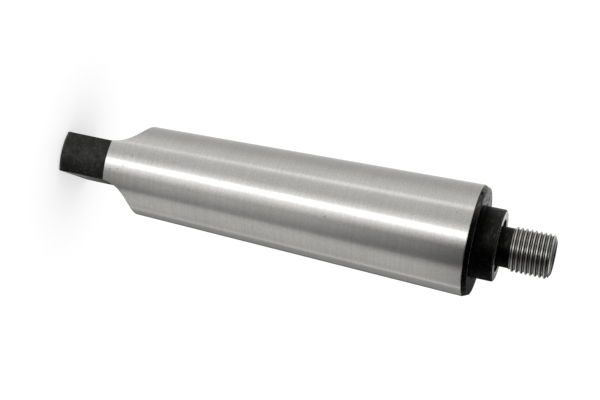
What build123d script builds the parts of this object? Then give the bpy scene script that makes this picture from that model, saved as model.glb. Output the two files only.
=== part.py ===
"""Morse taper No. 4 arbor with a tang, and a 1/2-20 threaded nose behind a collar.

One piece of turned steel. It stands on the end of its tang: the origin is at the centre
of that end, +Z runs along the axis towards the thread, and X is square to the tang's flats.
Sizes are in millimetres and degrees.
"""
from build123d import *
import math
import os

# Ground taper: the diameter at the gauge line, and the length over which it grows by 1 mm
gauge_dia = 31.267
taper_ratio = 19.254
gauge_height = 116.5
large_end_past_gauge = 5.0
large_end_chamfer_length = 1.6
large_end_chamfer_depth = 0.75

# Tang: a turned stub with two flats, which run out on the radius of the cutter
tang_dia = 24.25
tang_length = 14.8
tang_end_chamfer_length = 1.0
tang_end_chamfer_depth = 0.6
tang_thickness = 11.7
flat_length = 14.3
cutter_radius = 8.75

# Collar with the seat that a chuck screws up against, and a recess round the neck
collar_dia = 20.2
collar_length = 5.85
collar_edge_chamfer = 0.4
collar_root_fillet = 0.5
seat_inner_dia = 14.9
seat_recess_depth = 0.9

# Thread: 60 degree unified form, right hand, flats as shares of the pitch. Its groove's first turn is
# wider towards the neck, so the first thread starts blunt, at full height, at the start angle
thread_nominal_dia = 12.7
threads_per_inch = 20
thread_angle = 60.0
crest_flat_share = 1 / 8
root_flat_share = 3 / 16
thread_length = 11.6
thread_start_angle = 20.0
first_groove_turns = 0.5
run_in_width = 0.57
crest_trim = 0.1
tip_dia = 9.5
tip_chamfer_angle = 30.0
neck_length = 3.2
neck_relief = 0.02

# Centre holes, one in each end
centre_pilot_dia = 2.0
centre_mouth_dia = 4.25
centre_angle = 60.0
centre_pilot_depth = 1.6
drill_point_angle = 118.0

# Heights and radii that follow from the sizes above
INCH = 25.4
pitch = INCH / threads_per_inch
groove_mouth = pitch * (1 - crest_flat_share)
groove_root = pitch * root_flat_share
groove_depth = (groove_mouth - groove_root) / 2 / math.tan(math.radians(thread_angle / 2))
root_radius = thread_nominal_dia / 2 - groove_depth
crest_radius = thread_nominal_dia / 2 - crest_trim
neck_radius = root_radius - neck_relief
large_end_height = gauge_height + large_end_past_gauge
end_face_height = large_end_height + large_end_chamfer_length
collar_face_height = end_face_height + collar_length
thread_height = collar_face_height + neck_length
tip_height = thread_height + thread_length


def taper_radius(height):
    """Radius of the ground taper at a height above the tang's end."""
    return (gauge_dia + (height - gauge_height) / taper_ratio) / 2


def turned_blank():
    """The arbor as it leaves the lathe and the grinder: one outline turned about the axis."""
    tang_radius = tang_dia / 2
    large_radius = taper_radius(large_end_height)
    collar_radius = collar_dia / 2
    seat_inner_radius = seat_inner_dia / 2
    recess_height = collar_face_height - seat_recess_depth
    tip_radius = tip_dia / 2
    tip_chamfer = (crest_radius - tip_radius) * math.tan(math.radians(tip_chamfer_angle))
    outline = Polyline(
        (collar_radius, end_face_height + collar_root_fillet),
        (collar_radius, collar_face_height - collar_edge_chamfer),
        (collar_radius - collar_edge_chamfer, collar_face_height),
        (seat_inner_radius, collar_face_height),
        (seat_inner_radius, recess_height),
        (neck_radius, recess_height),
        (neck_radius, thread_height),
        (crest_radius, thread_height),
        (crest_radius, tip_height - tip_chamfer),
        (tip_radius, tip_height),
        (0, tip_height),
        (0, 0),
        (tang_radius - tang_end_chamfer_depth, 0),
        (tang_radius, tang_end_chamfer_length),
        (tang_radius, tang_length),
        (taper_radius(tang_length), tang_length),
        (large_radius, large_end_height),
        (large_radius - large_end_chamfer_depth, end_face_height),
        (collar_radius + collar_root_fillet, end_face_height),
    )
    fillet_arc = RadiusArc(outline @ 1, outline @ 0, collar_root_fillet)
    return revolve(Plane.XZ * make_face(outline + fillet_arc), Axis.Z)


def groove_turn(start, root_below, mouth_below):
    """One turn of the groove between the threads, swept up its helix from a start height.

    The last two are how far it reaches below its middle, at the root and at the mouth.
    """
    nominal_radius = thread_nominal_dia / 2
    section = Polyline(
        (root_radius, start - root_below),
        (nominal_radius, start - mouth_below),
        (nominal_radius, start + groove_mouth / 2),
        (root_radius, start + groove_root / 2),
        close=True,
    )
    helix = Helix(pitch, pitch, root_radius, center=(0, 0, start))
    return sweep(Plane.XZ * make_face(section), path=helix, is_frenet=True)


def thread_groove():
    """The whole groove, as turns end to end from beside the neck to half a pitch past the tip."""
    start = thread_height - first_groove_turns * pitch
    turns = math.ceil((tip_height + pitch / 2 - start) / pitch)
    run_in = groove_root / 2 + run_in_width
    first = groove_turn(start, run_in, run_in)
    turn = groove_turn(start, groove_root / 2, groove_mouth / 2)
    groove = [first] + [Pos(0, 0, step * pitch) * turn for step in range(1, turns)]
    return [Rot(0, 0, thread_start_angle) * piece for piece in groove]


def flat_waste():
    """What is milled off the tang's +X side: a flat that runs out on the cutter's radius."""
    flat_x = tang_thickness / 2
    clear = gauge_dia
    outline = Polyline(
        (flat_x + cutter_radius, flat_length + cutter_radius),
        (clear, flat_length + cutter_radius),
        (clear, -clear),
        (flat_x, -clear),
        (flat_x, flat_length),
    )
    run_out = RadiusArc(outline @ 1, outline @ 0, cutter_radius)
    return extrude(Plane.XZ * make_face(outline + run_out), clear, both=True)


def centre_hole():
    """A centre hole that opens downwards at the origin, with its pilot drilling above."""
    mouth = centre_mouth_dia / 2
    pilot = centre_pilot_dia / 2
    cone_depth = (mouth - pilot) / math.tan(math.radians(centre_angle / 2))
    pilot_end = cone_depth + centre_pilot_depth
    point = pilot / math.tan(math.radians(drill_point_angle / 2))
    outline = Polyline(
        (0, 0),
        (mouth, 0),
        (pilot, cone_depth),
        (pilot, pilot_end),
        (0, pilot_end + point),
        close=True,
    )
    return revolve(Plane.XZ * make_face(outline), Axis.Z)


def arbor():
    """The finished arbor, standing on its tang."""
    flat = flat_waste()
    hole = centre_hole()
    tip_hole = Pos(0, 0, tip_height) * Rot(180, 0, 0) * hole
    milled = turned_blank() - flat - mirror(flat, Plane.YZ)
    return milled - hole - tip_hole - thread_groove()


os.makedirs("parts", exist_ok=True)
export_step(arbor(), "parts/arbor.step")
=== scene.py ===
"""Dresses a No. 4 Morse taper arbor in its finishes and stands it in a pale studio.

The arbor is one bar of steel. It was turned, milled flat on two sides of the tang and blackened all
over. Then the taper was ground, and the thread and its seat were cut, so those are bright. One closed
skin stands for the whole bar, and each stretch of it is a class that works out its own grid of points.
Sizes are in millimetres up to the mesh, which is in metres as the frame is. Heights are above the
tang's end, along the axis. Columns run round the axis, and +X is square to the tang's flats.
"""
import logging
import math
from dataclasses import dataclass
from enum import Enum

import bpy
import numpy as np
from mathutils import Matrix, Vector


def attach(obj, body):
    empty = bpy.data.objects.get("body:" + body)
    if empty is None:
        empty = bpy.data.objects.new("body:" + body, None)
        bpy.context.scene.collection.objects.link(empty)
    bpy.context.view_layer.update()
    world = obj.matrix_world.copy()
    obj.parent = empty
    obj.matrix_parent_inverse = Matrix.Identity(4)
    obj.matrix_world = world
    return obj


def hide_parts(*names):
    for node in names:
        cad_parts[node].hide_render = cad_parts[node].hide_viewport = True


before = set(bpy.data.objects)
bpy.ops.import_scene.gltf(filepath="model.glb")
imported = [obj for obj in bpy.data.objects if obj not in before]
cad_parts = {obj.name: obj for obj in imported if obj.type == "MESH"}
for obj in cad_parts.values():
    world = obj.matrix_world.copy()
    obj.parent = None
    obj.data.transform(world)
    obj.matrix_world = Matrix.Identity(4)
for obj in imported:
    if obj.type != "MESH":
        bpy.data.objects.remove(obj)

MM = 0.001
FULL_TURN = 2 * math.pi
NODE = "arbor"
BODY = "root"

# Keeps a division away from zero
TINY = 1e-6

# Points that agree to a hundred-thousandth of a millimetre are one point
KEYS_PER_MM = 1e5

log = logging.getLogger("arbor")

# What a node takes: a socket to link, or a number
Socket = bpy.types.NodeSocket
Value = Socket | float


class Finish(Enum):
    """The finishes of the bar, in the order of the skin's material slots."""

    BLACK = 0
    GROUND = 1
    CUT = 2
    SEAT = 3


def soft_min(first: np.ndarray, second: np.ndarray, width: float) -> tuple[np.ndarray, np.ndarray]:
    """Takes the smaller of two radii and rounds the corner where they cross.

    The smaller value is lowered by the square of what the difference lacks of width, over four widths.

    Args:
        first: one set of radii.
        second: the other set.
        width: the difference at which the rounding starts.

    Returns:
        The rounded radii, and how near each is to the corner, from 0 to 1.
    """
    near = np.clip(1 - np.abs(first - second) / width, 0, 1)
    return np.minimum(first, second) - near**2 * width / 4, near


def soft_max(first: np.ndarray, second: np.ndarray, width: float) -> np.ndarray:
    """Takes the larger of two radii and rounds the corner where they cross.

    Args:
        first: one set of radii.
        second: the other set.
        width: the difference at which the rounding starts.

    Returns:
        The rounded radii.
    """
    return -soft_min(-first, -second, width)[0]


@dataclass
class Band:
    """Rows of points round the axis, one after another along the skin, all in one finish.

    Each array has a row for each ring of points and a column for each direction. The edge array is 1
    on a corner that wear has reached, and 0 away from it. On the thread it runs from 0 in the root to 1
    on the crest, which also sets the cut steel's painted shade.
    """

    finish: Finish
    turn: np.ndarray
    radius: np.ndarray
    height: np.ndarray
    edge: np.ndarray


@dataclass(frozen=True)
class Corner:
    """A corner of a turned outline: its radius from the axis, its height and how round it is."""

    radius: float
    height: float
    rounding: float = 0.0


@dataclass(frozen=True)
class Outline:
    """A turned outline of straight runs between corners, each corner rounded by an arc.

    Each arc has a support point past each end, which keeps the shading of the runs flat. It lies
    support mm down the run, or what is left of the run over short_run_part if that is less.
    """

    corners: tuple[Corner, ...]
    arc_steps: int = 5
    support: float = 0.08
    short_run_part: int = 3

    def points(self) -> tuple[np.ndarray, np.ndarray]:
        """Works out the outline's points, corner by corner.

        Returns:
            The points as rows of radius and height, and 1 for each point inside the arc of a corner
            that stands out, which wear reaches, else 0.
        """
        path: list[np.ndarray] = []
        edge: list[np.ndarray] = []
        places = np.array([(c.radius, c.height) for c in self.corners])
        for i, corner in enumerate(self.corners):
            if corner.rounding > 0:
                stretch, marks = self.rounded(*places[i - 1 : i + 2], corner.rounding)
            else:
                stretch, marks = places[i : i + 1], np.zeros(1)
            path.append(stretch)
            edge.append(marks)
        return np.vstack(path), np.concatenate(edge)

    def rounded(
        self, before: np.ndarray, corner: np.ndarray, after: np.ndarray, rounding: float
    ) -> tuple[np.ndarray, np.ndarray]:
        """Rounds one corner.

        An arc that touches both runs starts its radius over the tangent of half their angle from the
        corner, and its centre is its radius over the sine of that half away, in the middle of the
        angle. A point of the arc is the centre, plus the radius times the sine of its sweep across
        the angle, plus the radius times the cosine towards the corner.

        Args:
            before: the radius and height of the corner before.
            corner: those of the corner to round.
            after: those of the corner after.
            rounding: the arc's radius.

        Returns:
            The points, and their marks of wear.
        """
        back, ahead = before - corner, after - corner
        reach = np.linalg.norm([back, ahead], axis=1)
        back, ahead = back / reach[0], ahead / reach[1]
        half = math.acos(float(np.clip(back @ ahead, -1, 1))) / 2
        length = rounding / math.tan(half)
        middle = (back + ahead) / np.linalg.norm(back + ahead)
        centre = corner + middle * rounding / math.sin(half)
        sweep = np.linspace(-1, 1, self.arc_steps)[:, None] * (math.pi / 2 - half)
        across = (ahead - back) / np.linalg.norm(ahead - back)
        inward = (corner - centre) / np.linalg.norm(corner - centre)
        arc = centre + rounding * (np.sin(sweep) * across + np.cos(sweep) * inward)
        support = length + np.minimum(self.support, (reach - length) / self.short_run_part)
        stands_out = back[1] * ahead[0] - back[0] * ahead[1] > 0
        marks = np.zeros(self.arc_steps + 2)
        marks[2:-2] = 1.0 if stands_out else 0.0
        return np.vstack([corner + back * support[0], arc, corner + ahead * support[1]]), marks

    def band(self, finish: Finish, turn: np.ndarray) -> Band:
        """Turns the outline about the axis.

        Args:
            finish: the finish of the band.
            turn: the directions of the columns.

        Returns:
            The band of points, whose radius and height are the same in every column.
        """
        points, edge = self.points()
        shape = (len(points), len(turn))
        return Band(
            finish,
            np.broadcast_to(turn, shape),
            np.broadcast_to(points[:, :1], shape),
            np.broadcast_to(points[:, 1:], shape),
            np.broadcast_to(edge[:, None], shape),
        )


@dataclass(frozen=True)
class CentreHole:
    """A 60 degree centre hole with its pilot drilling, as lathe and grinder hold the bar."""

    pilot_dia: float = 2.0
    mouth_dia: float = 4.25
    angle_deg: float = 60.0
    pilot_depth: float = 1.6
    point_deg: float = 118.0
    mouth_rounding: float = 0.12
    cone_rounding: float = 0.05

    def corners(self, face: float, inward: float) -> tuple[Corner, ...]:
        """Lists the hole's corners from the drill's point to its mouth.

        The cone is the mouth's radius less the pilot's, over the tangent of half its angle, deep. The
        drill's point is the pilot's radius over the tangent of half its own angle.

        Args:
            face: the height of the face that the hole opens in.
            inward: 1 if the hole runs up from the face, or -1 if it runs down.

        Returns:
            The corners, without the mouth's.
        """
        pilot = self.pilot_dia / 2
        cone = (self.mouth_dia / 2 - pilot) / math.tan(math.radians(self.angle_deg / 2))
        bottom = cone + self.pilot_depth
        point = bottom + pilot / math.tan(math.radians(self.point_deg / 2))
        return (
            Corner(0.0, face + inward * point),
            Corner(pilot, face + inward * bottom),
            Corner(pilot, face + inward * cone, self.cone_rounding),
        )

    def mouth(self, face: float) -> Corner:
        """Gives the rounded corner at the mouth, in a face at that height."""
        return Corner(self.mouth_dia / 2, face, self.mouth_rounding)


@dataclass(frozen=True)
class Taper:
    """The ground Morse taper: a cone that grows 1 mm in diameter over ratio mm."""

    gauge_dia: float = 31.267
    ratio: float = 19.254
    gauge_height: float = 116.5
    large_end_height: float = 121.5
    ring_spacing: float = 4.0
    edge_clear: float = 1.0
    large_end_rounding: float = 0.16

    def radius(self, height: np.ndarray | float) -> np.ndarray | float:
        """Gives the cone's radius at a height: half the gauge diameter plus its growth from there."""
        return (self.gauge_dia + (height - self.gauge_height) / self.ratio) / 2


@dataclass(frozen=True)
class Tang:
    """The tang: a turned stub with two milled flats that run out on the cutter's radius.

    The fields from face_rings on say where its rows and columns of points lie.
    """

    taper: Taper
    hole: CentreHole
    dia: float = 24.25
    length: float = 14.8
    end_chamfer_length: float = 1.0
    end_chamfer_depth: float = 0.6
    thickness: float = 11.7
    flat_length: float = 14.3
    cutter_radius: float = 8.75
    end_rounding: float = 0.25
    corner_blend: float = 0.22
    shoulder_rounding: float = 0.12
    blend_top: float = 26.0
    face_rings: int = 8
    run_out_passes: int = 8
    angle_decimals: int = 9
    flat_columns: int = 22
    side_columns: int = 15
    flat_gap_deg: float = 2.0
    side_gap_deg: float = 1.2
    corner_steps_deg: tuple[float, ...] = (-1.3, -0.8, -0.45, -0.2, 0, 0.2, 0.45, 0.8, 1.3)
    shoulder_steps_deg: tuple[float, ...] = (-0.5, -0.25, -0.1, -0.03, 0, 0.3)
    end_arc_deg: tuple[float, ...] = (0, 22, 45, 67, 90)
    edge_arc_deg: tuple[float, ...] = (0, 30, 60, 90)
    chamfer_rows: tuple[float, ...] = (0.35, 0.6, 0.85, 0.93, 1.0, 1.08, 1.2, 1.4)
    stub_rows: tuple[float, ...] = (2, 3.5, 6, 9, 12, 13.6, 14.3, 14.55, 14.8)
    shoulder_insets: tuple[float, float] = (0.1, 0.4)
    low_wall_shares: tuple[float, ...] = (0, 0.05, 0.12, 0.22, 0.34, 0.46, 0.58)
    high_wall_shares: tuple[float, ...] = (0.7, 0.8, 0.88, 0.94, 0.975, 0.992, 1.0)
    foot_shares: tuple[float, ...] = (0, 0.004, 0.012, 0.03, 0.06, 0.12, 0.25, 0.45, 0.7, 1.0)

    def corner_angle(self, radius: float) -> float:
        """Gives the angle from +X at which a flat meets a round side of that radius."""
        return math.acos(self.thickness / 2 / radius)

    def columns(self) -> np.ndarray:
        """Chooses the directions of the columns, closer together at the corners of the tang.

        One quarter turn is listed from +X, and is mirrored into the other three.

        Returns:
            The angles in radians, from 0 to a full turn, both included.
        """
        corner = self.corner_angle(self.dia / 2)
        shoulder = self.corner_angle(float(self.taper.radius(self.flat_length)))
        near_corner = corner + np.radians(self.corner_steps_deg)
        near_shoulder = shoulder + np.radians(self.shoulder_steps_deg)
        flat = np.linspace(0, corner - math.radians(self.flat_gap_deg), self.flat_columns)
        side = np.linspace(shoulder + math.radians(self.side_gap_deg), math.pi / 2, self.side_columns)
        quarter = np.concatenate([flat, near_corner, near_shoulder, side])
        half = np.concatenate([quarter, math.pi - quarter])
        return np.unique(np.round(np.concatenate([half, half + math.pi]), self.angle_decimals))

    def squeeze(self, turn: np.ndarray, corner: np.ndarray) -> np.ndarray:
        """Moves the columns so that the tang's corner column lies at another angle.

        Each quarter is stretched in two straight parts, one on each side of the corner.

        Args:
            turn: the directions of the columns.
            corner: the corner's new angle from the X axis, one for each row.

        Returns:
            The directions, with a row for each corner angle.
        """
        old = self.corner_angle(self.dia / 2)
        signed = (turn + math.pi / 2) % math.pi - math.pi / 2
        size = np.abs(signed)[None, :]
        corner = corner[:, None]
        quarter = math.pi / 2
        beyond = quarter - (quarter - size) * (quarter - corner) / (quarter - old)
        moved = np.where(size < old, size * corner / old, beyond)
        return turn + np.sign(signed) * (moved - size)

    def flat_distance(self, height: np.ndarray) -> np.ndarray:
        """Gives the flat's distance from the axis: half the thickness, then the cutter's arc."""
        run = np.clip(height - self.flat_length, 0, self.cutter_radius)
        return self.thickness / 2 + self.cutter_radius - np.sqrt(self.cutter_radius**2 - run**2)

    def milled(
        self, turned: np.ndarray, height: np.ndarray, turn: np.ndarray
    ) -> tuple[np.ndarray, np.ndarray]:
        """Cuts the flats into a turned radius.

        Along a ray at an angle from X, the flat is its distance over the angle's cosine away. The
        surface is the nearer of that and the turned radius, blended at the corner.

        Args:
            turned: the radius before milling.
            height: the heights of the points.
            turn: the directions of the points.

        Returns:
            The milled radius, and how near each point is to the corner.
        """
        along_ray = self.flat_distance(height) / np.maximum(np.abs(np.cos(turn)), TINY)
        return soft_min(turned, along_ray, self.corner_blend)

    def run_out(self, turn: np.ndarray) -> np.ndarray:
        """Finds the height at which the cutter's arc leaves the cone, in each direction.

        The height solves arc distance = cone radius times cosine. It starts at the end of the flat
        and is put back into the cone's radius a few times, which settles because the cone is slow.

        Args:
            turn: the directions of the columns.

        Returns:
            The heights, or the top of the shoulder where the flat doesn't reach the cone.
        """
        lowest = self.length + self.shoulder_rounding
        height = np.full(turn.shape, self.flat_length)
        for _ in range(self.run_out_passes):
            beyond = self.taper.radius(height) * np.abs(np.cos(turn)) - self.thickness / 2
            depth = np.clip(beyond, 0, self.cutter_radius)
            rise = np.sqrt(self.cutter_radius**2 - (self.cutter_radius - depth) ** 2)
            height = self.flat_length + rise
        return np.where(beyond > 0, np.maximum(height, lowest), lowest)

    def end_face(self, turn: np.ndarray) -> Band:
        """Builds the centre hole and the end face, out to the rounded edge.

        Args:
            turn: the directions of the columns.

        Returns:
            The band from the drill's point to the edge.
        """
        hole = Outline((*self.hole.corners(0, 1), self.hole.mouth(0), Corner(self.hole.mouth_dia, 0)))
        inner = hole.band(Finish.BLACK, turn)
        start = inner.radius[-1:]
        rim = self.side(np.zeros(1), turn)
        share = np.linspace(0, 1, self.face_rings)[1:-1, None]
        radius = start + (rim.radius - start) * share
        directions = turn + (rim.turn - turn) * share
        flat = np.zeros(radius.shape)
        return Band(
            Finish.BLACK,
            np.vstack([inner.turn, directions]),
            np.vstack([inner.radius, radius]),
            np.vstack([inner.height, flat]),
            np.vstack([inner.edge, flat]),
        )

    def side(self, heights: np.ndarray, turn: np.ndarray) -> Band:
        """Builds the tang's sides: flats, round sides, their chamfer and the rounded end edge.

        The turned radius grows up the chamfer's slope to the stub's. Below the rounding's height the
        milled radius is drawn in by the rounding less the circle's height over its chord.

        Args:
            heights: the heights of the rows.
            turn: the directions of the columns.

        Returns:
            The band of those rows.
        """
        stub = self.dia / 2
        slope = self.end_chamfer_depth / self.end_chamfer_length
        turned = np.minimum(stub - self.end_chamfer_depth + heights * slope, stub)
        corner = np.arccos(self.thickness / 2 / turned)
        directions = self.squeeze(turn, corner)
        column = heights[:, None]
        radius, near = self.milled(turned[:, None], column, directions)
        left = np.clip(self.end_rounding - column, 0, self.end_rounding)
        drawn_in = self.end_rounding - np.sqrt(self.end_rounding**2 - left**2)
        worn = np.maximum(near, np.where(left > 0, 1.0, 0.0))
        height = np.broadcast_to(column, radius.shape)
        return Band(Finish.BLACK, directions, radius - drawn_in, height, worn)

    def stub(self, turn: np.ndarray) -> Band:
        """Builds the sides of the tang from its end to the shoulder.

        The rows on the end's rounding are its radius times one less the cosine of their angle up.
        The others are shared out as on a tang whose length is the last of them.

        Args:
            turn: the directions of the columns.

        Returns:
            The band of the sides.
        """
        arc = self.end_rounding * (1 - np.cos(np.radians(self.end_arc_deg)))
        above = np.array([*self.chamfer_rows, *self.stub_rows])
        return self.side(np.concatenate([arc, above / above[-1] * self.length]), turn)

    def shoulder(self, turn: np.ndarray) -> Band:
        """Builds the step from the stub up to the small end of the cone, still black.

        Args:
            turn: the directions of the columns.

        Returns:
            The band, which the flats cut away where they pass.
        """
        stub = self.dia / 2
        cone = float(self.taper.radius(self.length))
        inner, outer = self.shoulder_insets
        radii = np.array([stub, stub + inner, cone - outer, cone - self.shoulder_rounding])
        height = np.full((len(radii), len(turn)), self.length)
        directions = np.broadcast_to(turn, height.shape)
        radius, near = self.milled(radii[:, None], height, directions)
        return Band(Finish.BLACK, directions, radius, height, near)

    def run_out_wall(self, turn: np.ndarray) -> Band:
        """Builds the flats' run-out, from the shoulder up to where it leaves the cone.

        Args:
            turn: the directions of the columns.

        Returns:
            The band, whose rows share out the height between the shoulder and the run-out.
        """
        low = self.length + self.shoulder_rounding
        share = np.array([*self.low_wall_shares, *self.high_wall_shares])
        height = low + (self.run_out(turn) - low)[None, :] * share[:, None]
        directions = np.broadcast_to(turn, height.shape)
        radius, near = self.milled(self.taper.radius(height), height, directions)
        return Band(Finish.BLACK, directions, radius, height, near)

    def shoulder_edge(self, turn: np.ndarray) -> Band:
        """Builds the small rounded edge at the cone's small end, which the grinding left bright.

        At an angle round the edge, the radius is the cone's less the rounding times one less the
        sine, and the height is the shoulder's plus the rounding times one less the cosine.

        Args:
            turn: the directions of the columns.

        Returns:
            The band, which the flats cut away where they pass.
        """
        angle = np.radians(self.edge_arc_deg)[:, None]
        cone = float(self.taper.radius(self.length))
        turned = cone - self.shoulder_rounding * (1 - np.sin(angle))
        rise = self.shoulder_rounding * (1 - np.cos(angle))
        height = np.broadcast_to(self.length + rise, (len(angle), len(turn)))
        directions = np.broadcast_to(turn, height.shape)
        radius, _ = self.milled(turned, height, directions)
        return Band(Finish.GROUND, directions, radius, height, np.zeros(height.shape))

    def cone_foot(self, turn: np.ndarray) -> Band:
        """Builds the cone from the run-out's edge up to a level ring above it.

        Args:
            turn: the directions of the columns.

        Returns:
            The band, whose rows share out the height and crowd towards the edge.
        """
        low = self.run_out(turn)[None, :]
        share = np.array(self.foot_shares)[:, None]
        height = low + (self.blend_top - low) * share
        directions = np.broadcast_to(turn, height.shape)
        radius, near = self.milled(self.taper.radius(height), height, directions)
        return Band(Finish.GROUND, directions, radius, height, near)

    def bands(self, turn: np.ndarray) -> list[Band]:
        """Lists the tang's bands.

        Args:
            turn: the directions of the columns.

        Returns:
            The bands, from the centre hole's point up to the level ring on the cone.
        """
        return [
            self.end_face(turn),
            self.stub(turn),
            self.shoulder(turn),
            self.shoulder_edge(turn),
            self.run_out_wall(turn),
            self.cone_foot(turn),
        ]


@dataclass(frozen=True)
class Collar:
    """The large end, the collar with its seat, the recess in the seat and the neck.

    The ground steel runs bright_share of the way along the large end's chamfer. The black runs
    black_share of the way along the collar's edge chamfer, and the faced seat starts there.
    """

    taper: Taper
    chamfer_length: float = 1.6
    chamfer_depth: float = 0.75
    bright_share: float = 0.12
    chamfer_rounding: float = 0.12
    dia: float = 20.2
    length: float = 5.85
    edge_chamfer: float = 0.4
    edge_rounding: float = 0.1
    black_share: float = 0.95
    root_fillet: float = 0.5
    seat_inner_dia: float = 14.9
    recess_depth: float = 0.9
    neck_dia: float = 11.148
    neck_length: float = 3.2
    seat_rounding: float = 0.06
    root_rounding: float = 0.03
    finish_gap: float = 0.12

    @property
    def end_face(self) -> float:
        """Height of the large end's face."""
        return self.taper.large_end_height + self.chamfer_length

    @property
    def seat(self) -> float:
        """Height of the seat."""
        return self.end_face + self.length

    @property
    def neck_top(self) -> float:
        """Height at which the thread starts."""
        return self.seat + self.neck_length

    @property
    def grinding_edge(self) -> Corner:
        """The place on the large end's chamfer where the ground steel ends and the black starts.

        Returns:
            A sharp corner, that share of the way along the chamfer.
        """
        radius = float(self.taper.radius(self.taper.large_end_height))
        left = self.chamfer_length * (1 - self.bright_share)
        return Corner(radius - self.chamfer_depth * self.bright_share, self.end_face - left)

    @property
    def seat_edge(self) -> Corner:
        """The place on the collar's edge chamfer where the black ends and the faced seat starts."""
        inward = self.edge_chamfer * self.black_share
        return Corner(self.dia / 2 - inward, self.seat - self.edge_chamfer * (1 - self.black_share))

    def shank(self, start: float, turn: np.ndarray) -> Band:
        """Builds the ground cone from a level ring to the bright edge of its large end.

        Args:
            start: the height of the level ring.
            turn: the directions of the columns.

        Returns:
            The band of the cone.
        """
        top = self.taper.large_end_height
        rings = np.arange(start, top - self.taper.edge_clear, self.taper.ring_spacing)
        low = tuple(Corner(float(self.taper.radius(h)), float(h)) for h in rings)
        edge = Corner(float(self.taper.radius(top)), top, self.taper.large_end_rounding)
        return Outline((*low, edge, self.grinding_edge)).band(Finish.GROUND, turn)

    def large_end(self, turn: np.ndarray) -> Band:
        """Builds the black of the chamfer, the end face and the collar, up to the seat's cut.

        Args:
            turn: the directions of the columns.

        Returns:
            The band, with a fillet where the collar stands on the end face.
        """
        outer = self.dia / 2
        face_edge = float(self.taper.radius(self.taper.large_end_height)) - self.chamfer_depth
        corners = (
            self.grinding_edge,
            Corner(face_edge, self.end_face, self.chamfer_rounding),
            Corner(outer, self.end_face, self.root_fillet),
            Corner(outer, self.seat - self.edge_chamfer, self.edge_rounding),
            self.seat_edge,
        )
        return Outline(corners).band(Finish.BLACK, turn)

    def bands(self, turn: np.ndarray) -> list[Band]:
        """Lists the bands from the large end's chamfer up to the thread.

        Args:
            turn: the directions of the columns.

        Returns:
            The black large end and collar, the bright seat, the recess's black wall and bright
            floor, and the black neck.
        """
        inner = self.seat_inner_dia / 2
        neck = self.neck_dia / 2
        floor = self.seat - self.recess_depth
        rim = Corner(inner, self.seat - self.finish_gap)
        foot = Corner(inner, floor + self.seat_rounding)
        floor_end = Corner(neck + self.finish_gap, floor)
        seat_outer = Corner(self.dia / 2 - self.edge_chamfer, self.seat)
        seat = Outline((self.seat_edge, seat_outer, Corner(inner, self.seat, self.seat_rounding), rim))
        recess = Outline((foot, Corner(inner, floor, self.root_rounding), floor_end))
        root = Outline((floor_end, Corner(neck, floor, self.root_rounding), Corner(neck, self.neck_top)))
        return [
            self.large_end(turn),
            seat.band(Finish.SEAT, turn),
            Outline((rim, foot)).band(Finish.BLACK, turn),
            recess.band(Finish.SEAT, turn),
            root.band(Finish.BLACK, turn),
        ]


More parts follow.
